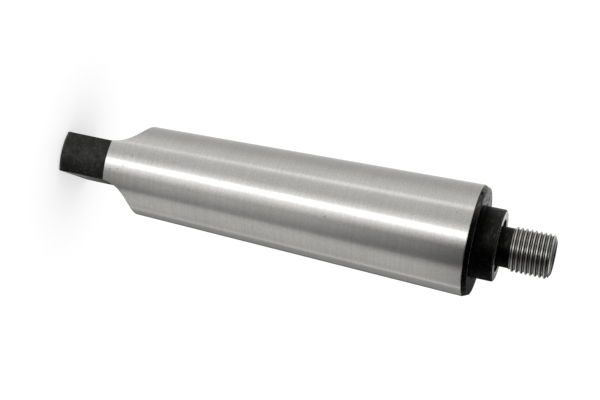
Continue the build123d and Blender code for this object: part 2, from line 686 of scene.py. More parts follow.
@dataclass(frozen=True)
class ThreadedNose:
    """The nose: a 60 degree right-hand thread, its tip chamfer, end face and centre hole."""

    base: float
    hole: CentreHole
    nominal_dia: float = 12.7
    pitch: float = 1.27
    angle_deg: float = 60.0
    crest_flat_share: float = 1 / 8
    root_flat_share: float = 3 / 16
    length: float = 11.6
    start_deg: float = 20.0
    first_groove_turns: float = 0.5
    crest_trim: float = 0.1
    tip_dia: float = 9.5
    tip_chamfer_deg: float = 30.0
    crest_rounding: float = 0.09
    root_rounding: float = 0.12
    rows_per_pitch: int = 20
    spare_pitches: int = 3
    clear_roundings: float = 1.5
    tip_rounding: float = 0.1
    face_lip: float = 0.2

    @property
    def root(self) -> float:
        """Radius of the thread's root.

        The groove's depth is half of what its mouth is wider than its floor, over the tangent of half
        the thread's angle.

        Returns:
            The nominal radius less that depth.
        """
        mouth = self.pitch * (1 - self.crest_flat_share)
        floor = self.pitch * self.root_flat_share
        return self.nominal_dia / 2 - (mouth - floor) / 2 / math.tan(math.radians(self.angle_deg / 2))

    @property
    def tip(self) -> float:
        """Height of the nose's end face."""
        return self.base + self.length

    @property
    def groove_start(self) -> float:
        """Height of the groove's middle where its first turn passes +X."""
        return self.base - (self.first_groove_turns + self.start_deg / 360) * self.pitch

    def chamfer_radius(self, height: np.ndarray | float) -> np.ndarray | float:
        """Gives the tip chamfer's radius: the tip's, growing down its slope."""
        return self.tip_dia / 2 + (self.tip - height) / math.tan(math.radians(self.tip_chamfer_deg))

    def thread_radius(self, height: np.ndarray, turn: np.ndarray) -> tuple[np.ndarray, np.ndarray]:
        """Gives the thread's radius at points round the nose.

        The groove's middle climbs one pitch a turn. Away from it by a distance, the flank has risen
        from the root by the distance past the flat root over the tangent of half the thread's angle.
        The result is the larger of root and flank, then the smaller of that, the crest and the chamfer.
        The part thread below the groove's first turn is cut away, which leaves a blunt start behind.

        Args:
            height: the heights of the points.
            turn: their directions, counted on past a full turn.

        Returns:
            The radii, and how near each point is to the crest, from 0 to 1.
        """
        past_start = (height - self.groove_start) / self.pitch - turn / FULL_TURN
        phase = (past_start + 0.5) % 1 - 0.5
        past_root = np.abs(phase) * self.pitch - self.pitch * self.root_flat_share / 2
        flank = self.root + past_root / math.tan(math.radians(self.angle_deg / 2))
        crest = self.nominal_dia / 2 - self.crest_trim
        before_start = turn < math.radians(self.start_deg)
        run_in = past_start < np.where(before_start, 1, 0) - self.root_flat_share / 2
        flank = np.where(run_in, self.root, flank)
        groove = soft_max(np.full(flank.shape, self.root), flank, self.root_rounding)
        radius, _ = soft_min(groove, np.full(flank.shape, crest), self.crest_rounding)
        # How near the crest: on the cut rows this sets the painted shade that darkens towards the root
        worn = np.clip((radius - self.root) / (crest - self.root), 0, 1)
        return soft_min(radius, self.chamfer_radius(height), self.crest_rounding)[0], worn

    def thread(self, turn: np.ndarray, steps: np.ndarray, finish: Finish) -> Band:
        """Builds the thread as rows that climb with the helix.

        A row's height is its own level plus a pitch a turn, held between the thread's foot and a
        ring on the chamfer. A row held at either end falls on the one before and adds no face.

        Args:
            turn: the directions of the columns.
            steps: the rows' levels, in rows above the middle of the groove's first turn.
            finish: the finish of the rows.

        Returns:
            The band of those rows.
        """
        levels = self.groove_start + steps / self.rows_per_pitch * self.pitch
        climb = self.pitch * turn / FULL_TURN
        height = np.clip(levels[:, None] + climb[None, :], self.base, self.chamfer_start)
        directions = np.broadcast_to(turn, height.shape)
        radius, worn = self.thread_radius(height, directions)
        return Band(finish, directions, radius, height, worn)

    @property
    def chamfer_start(self) -> float:
        """Height at which the chamfer is clear below the thread's root."""
        clear = self.root - self.root_rounding * self.clear_roundings - self.tip_dia / 2
        return self.tip - clear * math.tan(math.radians(self.tip_chamfer_deg))

    def bands(self, turn: np.ndarray) -> list[Band]:
        """Lists the nose's bands: thread, chamfer, and the black end face with its centre hole.

        The thread's rows are black up to the lower edge of the groove's root, and cut from there on.

        Args:
            turn: the directions of the columns.

        Returns:
            The bands, from the neck to the point of the centre hole.
        """
        start = Corner(float(self.chamfer_radius(self.chamfer_start)), self.chamfer_start)
        edge = Corner(self.tip_dia / 2, self.tip, self.tip_rounding)
        lip = Corner(self.tip_dia / 2 - self.face_lip, self.tip)
        chamfer = Outline((start, edge, lip))
        hole = self.hole.corners(self.tip, -1)[::-1]
        face = Outline((lip, self.hole.mouth(self.tip), *hole))
        groove = -round(self.rows_per_pitch * self.root_flat_share / 2)
        last = (math.ceil(self.length / self.pitch) + self.spare_pitches) * self.rows_per_pitch
        return [
            self.thread(turn, np.arange(-self.rows_per_pitch, groove + 1), Finish.BLACK),
            self.thread(turn, np.arange(groove, last), Finish.CUT),
            chamfer.band(Finish.CUT, turn),
            face.band(Finish.BLACK, turn),
        ]


@dataclass(frozen=True)
class Arbor:
    """The whole bar: tang, ground taper, collar and threaded nose as one closed skin."""

    taper: Taper = Taper()
    hole: CentreHole = CentreHole()
    name: str = "arbor_skin"
    sharp_deg: float = 38.0

    def bands(self) -> list[Band]:
        """Builds the bands of the tang, the shank, the collar and the nose in order.

        Returns:
            Every band, from the tang's centre hole to the nose's.
        """
        tang = Tang(self.taper, self.hole)
        collar = Collar(self.taper)
        nose = ThreadedNose(collar.neck_top, self.hole)
        turn = tang.columns()
        return [
            *tang.bands(turn),
            collar.shank(tang.blend_top, turn),
            *collar.bands(turn),
            *nose.bands(turn),
        ]

    def build(self) -> bpy.types.Object:
        """Makes the skin's object.

        Each point is at radius times the cosine and sine of its direction, and its height. Points
        that fall together are merged, so the last column closes on the first, the thread's rows join
        a pitch up, and the poles close. What is left of a cell with two corners merged is a triangle.

        Returns:
            The object, at the origin, with its finish, and its edge values for wear and the thread's painted
            shade, stored on its mesh.
        """
        bands = self.bands()
        turn = np.vstack([b.turn for b in bands]) % FULL_TURN
        radius = np.vstack([b.radius for b in bands])
        height = np.maximum(np.vstack([b.height for b in bands]), 0)
        edge = np.vstack([b.edge for b in bands]).ravel()
        finish = np.concatenate([np.full(len(b.turn), b.finish.value) for b in bands])
        points = np.stack([radius * np.cos(turn), radius * np.sin(turn), height], -1).reshape(-1, 3)
        keys = np.round(points * KEYS_PER_MM).astype(np.int64)
        _, first, merged = np.unique(keys, axis=0, return_index=True, return_inverse=True)
        merged = merged.reshape(radius.shape)
        cells = np.stack([merged[:-1, :-1], merged[:-1, 1:], merged[1:, 1:], merged[1:, :-1]], -1)
        cell_finish = np.repeat(finish[:-1], radius.shape[1] - 1)
        faces, face_finish = self.clean_cells(cells.reshape(-1, 4), cell_finish)
        faces = self.outward(points[first], faces)
        return self.make_object(points[first], faces, face_finish, edge[first])

    @staticmethod
    def clean_cells(cells: np.ndarray, finish: np.ndarray) -> tuple[np.ndarray, np.ndarray]:
        """Splits the cells into triangles and drops those whose corners have merged.

        Args:
            cells: four corner numbers a cell.
            finish: the finish of each cell.

        Returns:
            The triangles' corner numbers, and the finish of each.
        """
        halves = np.concatenate([cells[:, [0, 1, 2]], cells[:, [0, 2, 3]]])
        finish = np.concatenate([finish, finish])
        a, b, c = halves.T
        whole = (a != b) & (b != c) & (c != a)
        return halves[whole], finish[whole]

    @staticmethod
    def outward(points: np.ndarray, faces: np.ndarray) -> np.ndarray:
        """Turns all the faces round if they enclose a negative volume, so that they face outwards.

        The volume is the sum of each triangle's first corner times the cross product of the other
        two, over six.

        Args:
            points: the points in millimetres.
            faces: three corner numbers a face.

        Returns:
            The faces, all facing outwards.
        """
        a, b, c = points[faces[:, 0]], points[faces[:, 1]], points[faces[:, 2]]
        volume = float((a * np.cross(b, c)).sum() / 6)
        log.info("skin encloses %.0f cubic mm", abs(volume))
        return faces[:, ::-1] if volume < 0 else faces

    def make_object(
        self, points: np.ndarray, faces: np.ndarray, finish: np.ndarray, edge: np.ndarray
    ) -> bpy.types.Object:
        """Puts the skin's arrays into a mesh.

        Args:
            points: the points in millimetres.
            faces: three corner numbers a face.
            finish: the material slot of each face.
            edge: the wear of each point, and on the thread its rise from root to crest for the painted
                shade, stored as the attribute edge.

        Returns:
            The object, linked into the scene.
        """
        mesh = bpy.data.meshes.new(self.name)
        mesh.from_pydata((points * MM).tolist(), [], faces.tolist())
        mesh.polygons.foreach_set("material_index", finish.astype(np.int32))
        mesh.polygons.foreach_set("use_smooth", np.ones(len(faces), dtype=bool))
        wear = mesh.attributes.new("edge", "FLOAT", "POINT")
        wear.data.foreach_set("value", edge.astype(np.float32))
        mesh.set_sharp_from_angle(angle=math.radians(self.sharp_deg))
        mesh.update()
        piece = bpy.data.objects.new(self.name, mesh)
        bpy.context.scene.collection.objects.link(piece)
        return piece


def linear(hex_colour: str) -> tuple[float, float, float, float]:
    """Turns an sRGB hex colour into Blender's linear one.

    By the standard's curve, a value up to 0.04045 is divided by 12.92. A larger one has 0.055 added,
    is divided by 1.055 and is raised to the power 2.4.

    Args:
        hex_colour: six hex digits after a hash sign.

    Returns:
        Red, green, blue and an alpha of 1.
    """
    parts = np.array([int(hex_colour[i : i + 2], 16) for i in (1, 3, 5)]) / 255
    straight = np.where(parts <= 0.04045, parts / 12.92, ((parts + 0.055) / 1.055) ** 2.4)
    return (*straight.tolist(), 1.0)


def add_node(
    tree: bpy.types.NodeTree,
    kind: str,
    inputs: dict[int | str, Value | tuple[float, ...]] | None = None,
    output: int | str = 0,
    **settings: str,
) -> Socket | None:
    """Adds a node to a tree, with its settings and its inputs.

    Args:
        tree: the node tree.
        kind: the node's type name.
        inputs: input names or numbers, each with a value or the output socket to link.
        output: the name or number of the output to hand back.
        settings: the node's own properties.

    Returns:
        The output socket, or None if the node has none.
    """
    node = tree.nodes.new(kind)
    for name, value in settings.items():
        setattr(node, name, value)
    for name, value in (inputs or {}).items():
        if isinstance(value, Socket):
            tree.links.new(value, node.inputs[name])
        else:
            node.inputs[name].default_value = value
    return node.outputs[output] if node.outputs else None


class Join(Enum):
    """How values are joined into one."""

    TIMES = "MULTIPLY"
    PLUS = "ADD"
    MOST = "MAXIMUM"


@dataclass(frozen=True)
class Ramp:
    """A smooth run from a start to an end, as a value goes from low to high."""

    low: float
    high: float
    start: float = 0.0
    end: float = 1.0


@dataclass(frozen=True)
class Pattern:
    """A pattern of noise on the bar's surface.

    Its size is in millimetres, and stretch says how many times longer it is along X, Y and Z. The
    pattern is 0 where the noise is below none_below and 1 where it is above full_above. Its shift
    picks another part of the noise, and detail is how many finer layers the noise has.
    """

    size: float
    none_below: float
    full_above: float
    stretch: tuple[float, float, float] = (1, 1, 1)
    shift: float = 0.0
    detail: float = 3.0


@dataclass(frozen=True)
class Mark:
    """A mark on the bar's surface: a soft oval, with its half sizes round, along and into the bar."""

    azimuth_deg: float
    height: float
    radius: float
    half_round: float
    half_long: float
    slant_deg: float = 0.0
    half_deep: float = 1.0


class Coat:
    """A material under way: its shader, and the places and patterns that its finish is made from.

    Places are the bar's own, in millimetres: the place itself, its height, its radius from the axis,
    and its side, which is its X. The edge is what the skin stores: the wear of corners, and on the
    thread 0 in the root to 1 on the crest. The tool's lines run round the axis, along Z crossed with
    the place. The shader's tangent is the normal crossed with that: along the axis on a side, and
    away from it on a face.
    """

    def __init__(self, name: str) -> None:
        """Makes the material, and the values that every finish starts from.

        Args:
            name: the material's name.
        """
        self.material = bpy.data.materials.new(name)
        self.material.use_nodes = True
        self.tree = self.material.node_tree
        self.shader = self.tree.nodes["Principled BSDF"]
        tree, vectors = self.tree, "ShaderNodeVectorMath"
        own = add_node(tree, "ShaderNodeTexCoord", output="Object")
        self.place = add_node(tree, vectors, {0: own, "Scale": 1 / MM}, operation="SCALE")
        self.height = add_node(tree, "ShaderNodeSeparateXYZ", {0: self.place}, output="Z")
        self.side = add_node(tree, "ShaderNodeSeparateXYZ", {0: self.place}, output="X")
        level = add_node(tree, vectors, {0: self.place, 1: (1, 1, 0)}, operation="MULTIPLY")
        self.radius = add_node(tree, vectors, {0: level}, "Value", operation="LENGTH")
        self.edge = add_node(tree, "ShaderNodeAttribute", output="Fac", attribute_name="edge")
        normal = add_node(tree, "ShaderNodeNewGeometry", output="Normal")
        lines = add_node(tree, vectors, {0: (0, 0, 1), 1: own}, operation="CROSS_PRODUCT")
        across = add_node(tree, vectors, {0: normal, 1: lines}, operation="CROSS_PRODUCT")
        unit = add_node(tree, vectors, {0: across}, operation="NORMALIZE")
        tree.links.new(unit, self.shader.inputs["Tangent"])

    def run(self, value: Socket, ramp: Ramp) -> Socket:
        """Runs smoothly along a ramp.

        Args:
            value: the value that goes from the ramp's low to its high.
            ramp: the ramp.

        Returns:
            What the ramp has there, which stays at its start or its end outside them.
        """
        ends = {"From Min": ramp.low, "From Max": ramp.high, "To Min": ramp.start, "To Max": ramp.end}
        inputs = {"Value": value, **ends}
        return add_node(self.tree, "ShaderNodeMapRange", inputs, interpolation_type="SMOOTHSTEP")

    def join(self, how: Join, *values: Value) -> Socket:
        """Joins values one after another into their product, their sum or the largest of them.

        Args:
            how: which of these.
            values: the values, of which at least one is a socket.

        Returns:
            The joined value.
        """
        joined = values[0]
        for value in values[1:]:
            joined = add_node(self.tree, "ShaderNodeMath", {0: joined, 1: value}, operation=how.value)
        return joined

    def layers(self, base: str, *layers: tuple[str, Socket]) -> Socket:
        """Lays colours over a base colour, one after another, each by its share.

        Args:
            base: the base's hex colour.
            layers: each a hex colour, and the share of it that hides what is below.

        Returns:
            The colour that shows.
        """
        # On colours the Mix node blends from its input 6 to its input 7, into its output 2
        shown = linear(base)
        for colour, share in layers:
            inputs = {0: share, 6: shown, 7: linear(colour)}
            shown = add_node(self.tree, "ShaderNodeMix", inputs, 2, data_type="RGBA")
        return shown

    def clouds(self, pattern: Pattern) -> Socket:
        """Makes a pattern of clouds: a noise of the place, over the pattern's size.

        Args:
            pattern: the size and the strength of the clouds.

        Returns:
            The clouds' value, from 0 to 1.
        """
        sizes = tuple(pattern.size * share for share in pattern.stretch)
        inputs = {"Vector": self.place, "Location": (pattern.shift,) * 3, "Scale": sizes}
        cell = add_node(self.tree, "ShaderNodeMapping", inputs, vector_type="TEXTURE")
        inputs = {"Vector": cell, "Scale": 1.0, "Detail": pattern.detail}
        noise = add_node(self.tree, "ShaderNodeTexNoise", inputs)
        return self.run(noise, Ramp(pattern.none_below, pattern.full_above))

    def rings(self, pattern: Pattern) -> Socket:
        """Makes turning rings on a face: a noise of the radius alone, over the pattern's size.

        Args:
            pattern: the size and the strength of the rings, whose stretch and shift aren't used.

        Returns:
            The rings' value, from 0 to 1.
        """
        step = self.join(Join.TIMES, self.radius, 1 / pattern.size)
        inputs = {"W": step, "Scale": 1.0, "Detail": pattern.detail}
        noise = add_node(self.tree, "ShaderNodeTexNoise", inputs, noise_dimensions="1D")
        return self.run(noise, Ramp(pattern.none_below, pattern.full_above))

    def marks(self, marks: tuple[Mark, ...]) -> Socket:
        """Lays soft ovals on the surface.

        Each oval is a ball of 1 at its middle and 0 at its edge, stretched to its half sizes.

        Args:
            marks: the ovals.

        Returns:
            The largest of the ovals' values, from 0 to 1.
        """
        balls = []
        for mark in marks:
            turn = math.radians(mark.azimuth_deg)
            inputs = {
                "Vector": self.place,
                "Location": (mark.radius * math.cos(turn), mark.radius * math.sin(turn), mark.height),
                "Rotation": (math.radians(mark.slant_deg), 0, turn),
                "Scale": (mark.half_deep, mark.half_round, mark.half_long),
            }
            oval = add_node(self.tree, "ShaderNodeMapping", inputs, vector_type="TEXTURE")
            ball = add_node(self.tree, "ShaderNodeTexGradient", {0: oval}, 1, gradient_type="SPHERICAL")
            balls.append(ball)
        return self.join(Join.MOST, *balls)

    def roughen(self, height: Socket, depth: float) -> None:
        """Raises the surface by a pattern.

        Args:
            height: the pattern, from 0 to 1.
            depth: how high 1 stands over 0, in millimetres.
        """
        inputs = {"Height": height, "Distance": depth * MM, "Strength": 1.0}
        bump = add_node(self.tree, "ShaderNodeBump", inputs, output="Normal")
        self.tree.links.new(bump, self.shader.inputs["Normal"])

    def finish(self, **values: Value | str) -> bpy.types.Material:
        """Sets or links the shader's inputs, named with underscores for spaces.

        Args:
            values: a number, a hex colour or an output socket for each input.

        Returns:
            The material.
        """
        for name, value in values.items():
            socket = self.shader.inputs[name.replace("_", " ")]
            if isinstance(value, Socket):
                self.tree.links.new(value, socket)
            else:
                socket.default_value = linear(value) if isinstance(value, str) else value
        return self.material


@dataclass(frozen=True)
class BlackOxide:
    """Black oxide: a thin film grown in hot salts, dry and grey on the tang and deep black on the nose.

    It isn't bare metal to the eye: a dark body under a faint gloss that turns grey where it is seen
    at a flat angle. Handling has blotched it, and corners have worn through to steel. A painted sheen
    raises its gloss on the -X side of the chamfer, the collar and the neck, growing up the collar from
    its root towards the seat, and painted shade makes its +X side duller.
    """

    name: str = "black_oxide_steel"
    dry: str = "#060606"
    deep: str = "#010101"
    blotch: str = "#222222"
    bare: str = "#504e4b"
    sheen: str = "#fffff6"

    # By height: the film's depth and gloss, the painted sheen on the collar and the neck, and where it ends
    deepening: Ramp = Ramp(30, 110)
    film_gloss: Ramp = Ramp(30, 110, 0.27, 0.03)
    # Painted sheen: extra gloss up the collar and along the neck, on the -X side
    painted_collar_sheen: Ramp = Ramp(123.6, 128.4, 0, 0.17)
    painted_neck_sheen: Ramp = Ramp(128.6, 133, 0, 0.17)
    nose_fade: Ramp = Ramp(138, 140, 1, 0)

    # By radius: clear of the neck, the large end's chamfer with its painted sheen, and the part of its face
    # that is smooth
    off_neck: Ramp = Ramp(7.0, 7.5)
    painted_chamfer_sheen: Ramp = Ramp(14.95, 15.05, 0, 0.5)
    smooth_face: Ramp = Ramp(10.4, 10.7)

    # By side, from -X to +X: the painted sheen's side shares, and painted shade that dulls the +X side
    sheen_side: Ramp = Ramp(-3, 4, 1, 0)
    chamfer_sheen_side: Ramp = Ramp(-10, -3, 1, 0)
    shaded_side: Ramp = Ramp(-1, 6, 1, 0.6)

    # By the strength of what each is named for, and the roughness by that of smooth_face
    blotch_on_deep: Ramp = Ramp(0, 1, 1, 0.2)
    scratch_gloss: Ramp = Ramp(0, 1, 0.8, 2.6)
    stain_cover: Ramp = Ramp(0.1, 0.6, 1, 0)
    corner_wear: Ramp = Ramp(0.5, 1)
    roughness: Ramp = Ramp(0, 1, 0.42, 0.16)
    patch_roughness: float = 0.4
    blotch_gloss: float = 0.08

    # The crystals of the film are microns across, so the grain is drawn as coarse as it needs to show
    grain: Pattern = Pattern(0.45, 0.42, 0.66)
    grain_depth: float = 0.008

    # Blotches and worn patches are a millimetre or two across on the real bar too
    blotches: Pattern = Pattern(1.8, 0.36, 0.66, detail=5)
    wear_patches: Pattern = Pattern(1.6, 0.3, 0.65, shift=30)
    face_patches: Pattern = Pattern(1.6, 0.45, 0.65, shift=50)

    # Scratches run round the bar. Both they and the face's turning rings are some hundredths of a
    # millimetre wide, and are drawn half a millimetre apart to show
    scratches: Pattern = Pattern(0.45, 0.5, 0.72, stretch=(5, 5, 1), shift=20)
    face_rings: Pattern = Pattern(0.5, 0.35, 0.65, detail=2)

    stains: tuple[Mark, ...] = (
        Mark(-139, 123.1, 13.6, 0.5, 0.4),
        Mark(-161, 123.1, 11.9, 1.2, 0.4),
        Mark(-143, 122.2, 15.5, 1.5, 0.4),
    )

    def painted_sheen(self, coat: Coat) -> Socket:
        """Works out the painted sheen: gloss added on the -X side that stands in for brighter reflections.

        The collar's sheen, which grows from its root to the seat and is clear of the neck, or the neck's
        if that is larger, is multiplied by the share for its side. The chamfer's, times its own share,
        counts where it is larger. The result is raised along scratches and fades out at the nose's end.

        Args:
            coat: the material under way.

        Returns:
            The painted sheen's gloss, to add to the film's.
        """
        # Painted sheen: more gloss towards the seat and on the -X side, standing in for reflections there
        collar = coat.join(
            Join.TIMES, coat.run(coat.height, self.painted_collar_sheen), coat.run(coat.radius, self.off_neck)
        )
        either = coat.join(Join.MOST, collar, coat.run(coat.height, self.painted_neck_sheen))
        sided_sheen = coat.join(Join.TIMES, either, coat.run(coat.side, self.sheen_side))
        chamfer = coat.join(
            Join.TIMES, coat.run(coat.radius, self.painted_chamfer_sheen), coat.run(coat.side, self.chamfer_sheen_side)
        )
        all_sheen = coat.join(Join.MOST, sided_sheen, chamfer)
        scratched = coat.run(coat.clouds(self.scratches), self.scratch_gloss)
        return coat.join(Join.TIMES, all_sheen, scratched, coat.run(coat.height, self.nose_fade))

    def gloss(self, coat: Coat, blotched: Socket) -> Socket:
        """Works out the whole gloss: the film's by height and side, with painted shade on the +X side, the
        painted sheen's and the blotches'.

        Args:
            coat: the material under way.
            blotched: how strongly the film is blotched.

        Returns:
            The specular level, which the stains take away.
        """
        # Painted shade: the film's gloss falls towards the +X side
        film = coat.join(
            Join.TIMES, coat.run(coat.height, self.film_gloss), coat.run(coat.side, self.shaded_side)
        )
        mottled = coat.join(Join.TIMES, blotched, self.blotch_gloss)
        total = coat.join(Join.PLUS, film, self.painted_sheen(coat), mottled)
        return coat.join(Join.TIMES, total, coat.run(coat.marks(self.stains), self.stain_cover))

    def rough(self, coat: Coat, depth: Socket) -> Socket:
        """Works out the roughness: less on the large end's face, and more in broken rings.

        Args:
            coat: the material under way.
            depth: how deep the film is.

        Returns:
            The roughness.
        """
        face = coat.join(Join.TIMES, depth, coat.run(coat.radius, self.smooth_face))
        rings = coat.rings(self.face_rings)
        patches = coat.join(Join.TIMES, coat.clouds(self.face_patches), rings, self.patch_roughness)
        return coat.join(Join.PLUS, coat.run(face, self.roughness), patches)

    def build(self) -> bpy.types.Material:
        """Makes the finish: dry film, then deep film, blotches and bare corners laid over one another.

        Returns:
            The material.
        """
        coat = Coat(self.name)
        depth = coat.run(coat.height, self.deepening)
        grain = coat.clouds(self.grain)
        mottle = coat.join(Join.TIMES, coat.clouds(self.blotches), grain)
        blotched = coat.join(Join.TIMES, mottle, coat.run(depth, self.blotch_on_deep))
        corners = coat.run(coat.edge, self.corner_wear)
        worn = coat.join(Join.TIMES, corners, coat.clouds(self.wear_patches))
        coat.roughen(grain, self.grain_depth)
        return coat.finish(
            Base_Color=coat.layers(self.dry, (self.deep, depth), (self.blotch, blotched), (self.bare, worn)),
            Specular_IOR_Level=self.gloss(coat, blotched),
            Specular_Tint=self.sheen,
            Roughness=self.rough(coat, depth),
        )


@dataclass(frozen=True)
class GroundSteel:
    """Steel ground round the axis: a fine grain that spreads reflections along the bar only."""

    name: str = "ground_steel"
    light: str = "#c4c3c0"
    dull: str = "#b4b3b0"
    speck: str = "#55524c"
    roughness: float = 0.25

    # Grinding lines are a few hundredths of a millimetre apart. They are drawn 0.6 mm apart to show
    lines: Pattern = Pattern(0.6, 0.3, 0.7, stretch=(40, 40, 1), detail=2)

    # Oil and handling leave patches of some millimetres. The grit's grain is drawn coarse to show
    patches: Pattern = Pattern(6.0, 0.35, 0.65, stretch=(1, 1, 2))
    grain: Pattern = Pattern(0.5, 0.3, 0.7, shift=5)

    # Dark specks are under a millimetre across: only the peaks of clouds that are 1.2 mm apart
    specks: Pattern = Pattern(1.2, 0.73, 0.78, shift=12)

    line_share: float = 0.25
    grain_share: float = 0.5
    speck_share: float = 0.5
    scuff_share: Ramp = Ramp(0.05, 0.8, 0, 0.5)
    ragged: Ramp = Ramp(0, 1, 0.5, 1)
    scuffs: tuple[Mark, ...] = (
        Mark(-79, 16.7, 13.0, 0.35, 0.9, 35),
        Mark(-81, 19.1, 13.1, 0.4, 0.7, 30),
        Mark(-86, 20.6, 13.1, 0.4, 0.4),
        Mark(-101, 22.6, 13.2, 0.4, 0.4),
        Mark(-78, 82.3, 14.7, 0.4, 0.8, 60),
    )

    def spots(self, coat: Coat, grain: Socket) -> Socket:
        """Works out where specks and scuffs lie, whichever is the stronger.

        Args:
            coat: the material under way.
            grain: the fine clouds that make the scuffs ragged.

        Returns:
            Their share of the colour.
        """
        specks = coat.join(Join.TIMES, coat.clouds(self.specks), self.speck_share)
        ovals = coat.run(coat.marks(self.scuffs), self.scuff_share)
        scuffs = coat.join(Join.TIMES, ovals, coat.run(grain, self.ragged))
        return coat.join(Join.MOST, specks, scuffs)

    def build(self) -> bpy.types.Material:
        """Makes the finish.

        Its tone is the sum of the lines and patches by their share and the grain by its own.

        Returns:
            The material.
        """
        coat = Coat(self.name)
        lined = coat.join(Join.PLUS, coat.clouds(self.lines), coat.clouds(self.patches))
        grain = coat.clouds(self.grain)
        tone = coat.join(
            Join.PLUS,
            coat.join(Join.TIMES, lined, self.line_share),
            coat.join(Join.TIMES, grain, self.grain_share),
        )
        colour = coat.layers(self.dull, (self.light, tone), (self.speck, self.spots(coat, grain)))
        return coat.finish(Base_Color=colour, Metallic=1.0, Roughness=self.roughness, Anisotropic=1.0)


@dataclass(frozen=True)
class CutSteel:
    """Steel cut by a threading tool: bright crests, and painted shade that darkens the flanks and greys the
    roots.
    """

    name: str = "cut_steel"
    # The root's and the flank's colours are painted shade in the thread's grooves; the crest's is the
    # steel's own
    root: str = "#92918d"
    flank: str = "#454442"
    crest: str = "#c4c3bf"
    flank_shade_edge: Ramp = Ramp(0.02, 0.2)
    crest_edge: Ramp = Ramp(0.78, 1.0)
    roughness: float = 0.3
    anisotropy: float = 0.6

    def build(self) -> bpy.types.Material:
        """Makes the finish, whose tones go up the thread from its root to its crest as painted shade.

        Returns:
            The material.
        """
        coat = Coat(self.name)
        flank = coat.run(coat.edge, self.flank_shade_edge)
        crest = coat.run(coat.edge, self.crest_edge)
        colour = coat.layers(self.root, (self.flank, flank), (self.crest, crest))
        return coat.finish(
            Base_Color=colour, Metallic=1.0, Roughness=self.roughness, Anisotropic=self.anisotropy
        )


@dataclass(frozen=True)
class FacedSteel:
    """Steel faced on a lathe: rings that spread reflections away from the axis, and painted shade that
    darkens the recess.
    """

    name: str = "faced_steel"
    # The recess's colour is darker than the seat's: painted shade in the recess
    recess: str = "#a9a8a2"
    seat: str = "#c4c4be"
    recess_shade_level: Ramp = Ramp(128.55, 128.65)
    roughness: float = 0.25
    anisotropy: float = 0.5

    # A facing tool leaves rings about 0.1 mm apart. They are drawn 0.25 mm apart to show
    rings: Pattern = Pattern(0.25, 0.3, 0.7, detail=2)
    ring_tone: Ramp = Ramp(0, 1, 0.85, 1)

    def build(self) -> bpy.types.Material:
        """Makes the finish: the recess's colour, darker as painted shade, or the seat's by height, times the
        rings' tone.

        Returns:
            The material.
        """
        coat = Coat(self.name)
        # Painted shade: the recess is darker below the seat's level
        colour = coat.layers(self.recess, (self.seat, coat.run(coat.height, self.recess_shade_level)))
        tone = coat.run(coat.rings(self.rings), self.ring_tone)
        ringed = {0: colour, "Scale": tone}
        colour = add_node(coat.tree, "ShaderNodeVectorMath", ringed, operation="SCALE")
        return coat.finish(
            Base_Color=colour, Metallic=1.0, Roughness=self.roughness, Anisotropic=self.anisotropy
        )


@dataclass(frozen=True)
class Panel:
    """A stretch of the tent of light, by azimuth, whose brightness runs evenly from edge to edge."""

    start_deg: float
    end_deg: float
    start_glow: float
    end_glow: float


@dataclass(frozen=True)
class LightTent:
    """A round tent of cards about the arbor, which only mirror reflections see.

    Azimuths are counted from the side that faces the camera, and grow towards +X, which is the lower
    side of the picture. The bright steel shows the cards as bands along it.
    """

    radius: float = 2.0
    half_height: float = 2.6
    facing_deg: float = -86.2
    ceiling_glow: float = 0.35
    base_glow: float = 0.8
    steps: int = 720
    panels: tuple[Panel, ...] = (
        Panel(-176, -168, 1.20, 1.08),
        Panel(-160, -128, 0.76, 0.67),
        Panel(-122, -112, 0.67, 0.68),
        Panel(-110, -76, 0.69, 1.02),
        Panel(-70, -63, 1.00, 1.15),
        Panel(-60, -36, 0.90, 0.82),
        Panel(-30, -25, 0.86, 1.05),
        Panel(-19, -15, 1.30, 1.50),
        Panel(-11, -1, 2.70, 2.40),
        Panel(3, 24, 1.60, 0.70),
        Panel(28, 60, 0.72, 0.36),
        Panel(64, 70, 0.68, 0.74),
        Panel(76, 96, 0.77, 0.74),
        Panel(104, 113, 0.65, 0.64),
        Panel(117, 120, 0.98, 0.98),
        Panel(123, 156, 0.50, 0.30),
        Panel(160, 178, 0.10, 0.10),
    )

    def build(self) -> None:
        """Makes the tent's wall and its two ends, and keeps it out of every view.

        The wall's glow at an azimuth is read off the panels' edges, evenly between them.
        """
        stops = np.array([(p.start_deg, p.end_deg) for p in self.panels], dtype=float).ravel()
        glows = np.array([(p.start_glow, p.end_glow) for p in self.panels]).ravel()
        azimuth = np.linspace(-180, 180, self.steps, endpoint=False)
        glow = np.interp(azimuth, stops, glows, period=360)
        turn = np.radians(azimuth + self.facing_deg)
        ring = np.stack([np.cos(turn), np.sin(turn)], -1) * self.radius
        low = np.column_stack([ring, np.full(self.steps, -self.half_height)])
        high = np.column_stack([ring, np.full(self.steps, self.half_height)])
        here = np.arange(self.steps)
        after = (here + 1) % self.steps
        wall = np.stack([here, here + self.steps, after + self.steps, after], -1)
        mesh = bpy.data.meshes.new("light_tent")
        ends = [here.tolist(), (here[::-1] + self.steps).tolist()]
        mesh.from_pydata(np.vstack([low, high]).tolist(), [], wall.tolist() + ends)
        values = np.concatenate([(glow + np.roll(glow, -1)) / 2, [self.base_glow, self.ceiling_glow]])
        layer = mesh.attributes.new("glow", "FLOAT", "FACE")
        layer.data.foreach_set("value", values.astype(np.float32))
        tent = bpy.data.objects.new("light_tent", mesh)
        show_in_steel_only(tent, glowing_card())


